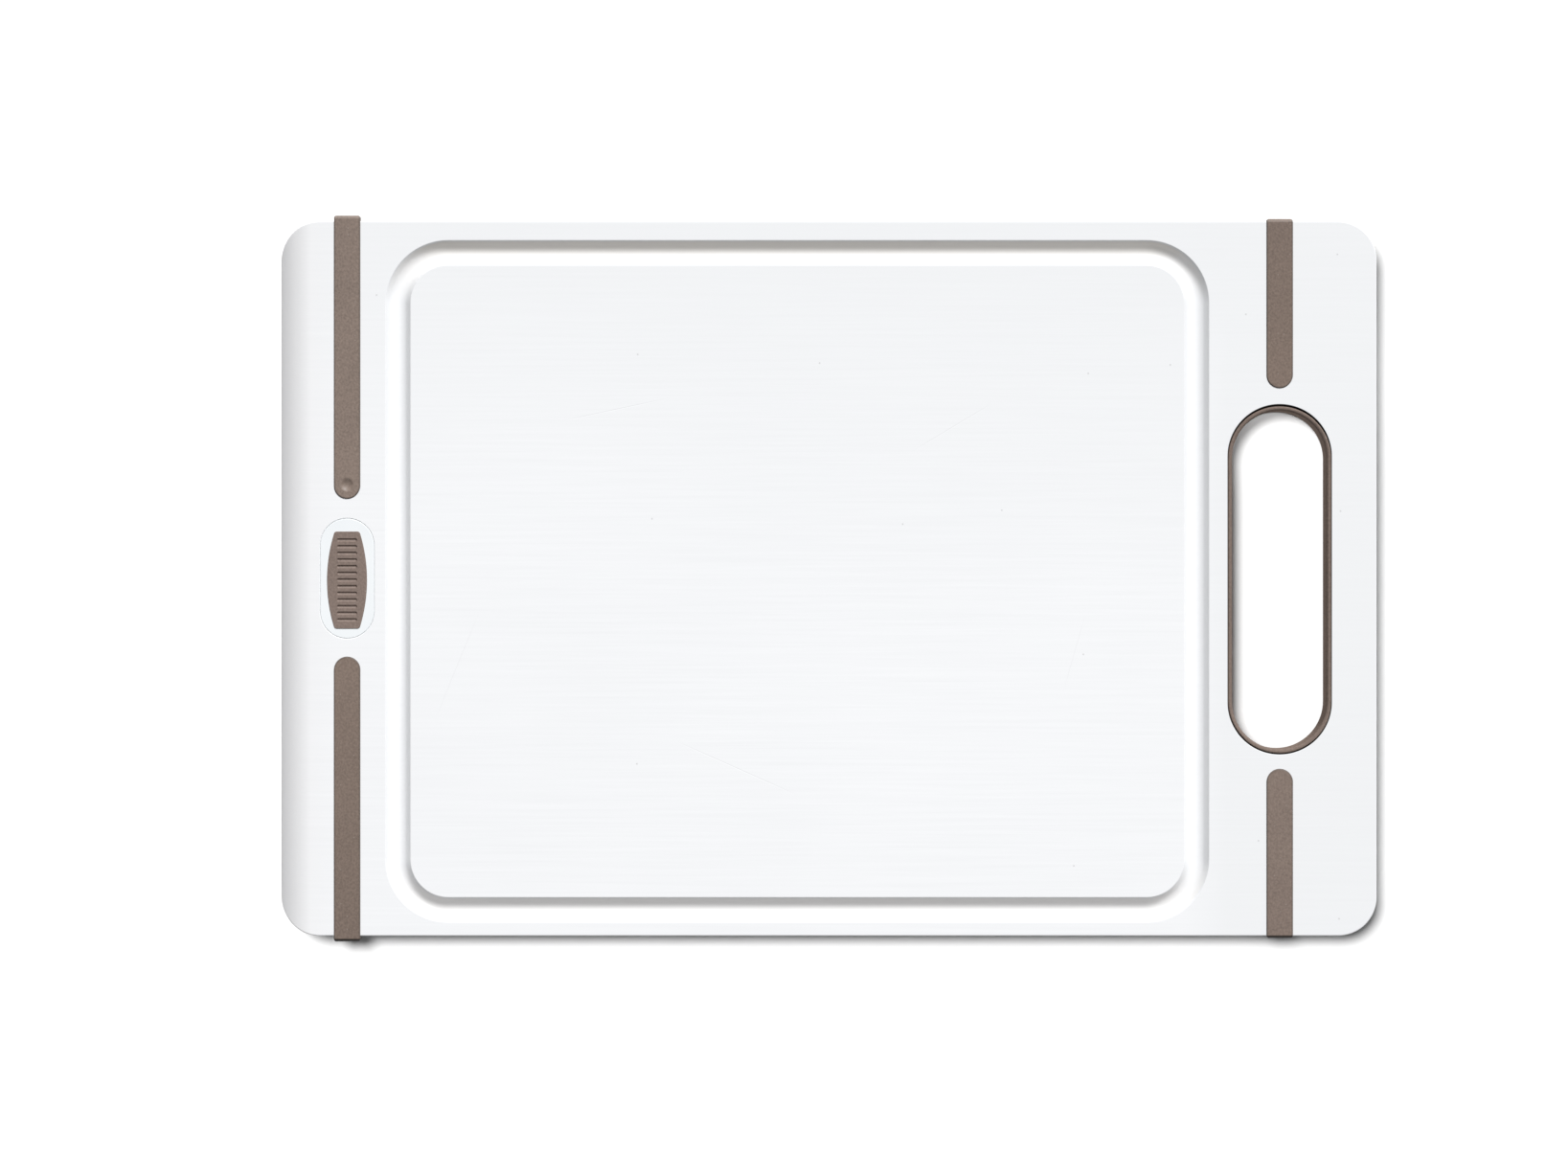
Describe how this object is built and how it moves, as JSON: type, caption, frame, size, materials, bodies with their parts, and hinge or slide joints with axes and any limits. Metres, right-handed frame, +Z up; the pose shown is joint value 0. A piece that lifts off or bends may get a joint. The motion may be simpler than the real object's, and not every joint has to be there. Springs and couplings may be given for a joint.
{
  "type": "cutting board",
  "caption": "Flat rectangular plastic cutting board with a juice groove, non-slip rubber strips that wrap its long edges, a rubber-lined hand slot and a ribbed badge.",
  "frame": {"origin": "under the middle of the board, level with the surface that the rubber strips rest on", "axes": "+X along the length from the rolled nose to the hand slot, +Y across the board, +Z up out of the grooved face"},
  "size_m": [0.3708, 0.2454, 0.0128],
  "materials": {
    "board_plastic": "fine machined satin, cool white polyethylene",
    "plug_plastic": "smooth moulded satin, cool white",
    "badge_rubber": "matt moulded taupe",
    "strip_rubber": "matt moulded taupe",
    "grip_rubber": "matt moulded taupe"
  },
  "bodies": {
    "root": {"board_body": "board_plastic", "badge_plug": "plug_plastic", "badge_plate": "badge_rubber", "strip_rear_left": "strip_rubber", "strip_front_left": "strip_rubber", "strip_rear_right": "strip_rubber", "strip_front_right": "strip_rubber", "grip_ring": "grip_rubber"}
  },
  "joints": []
}
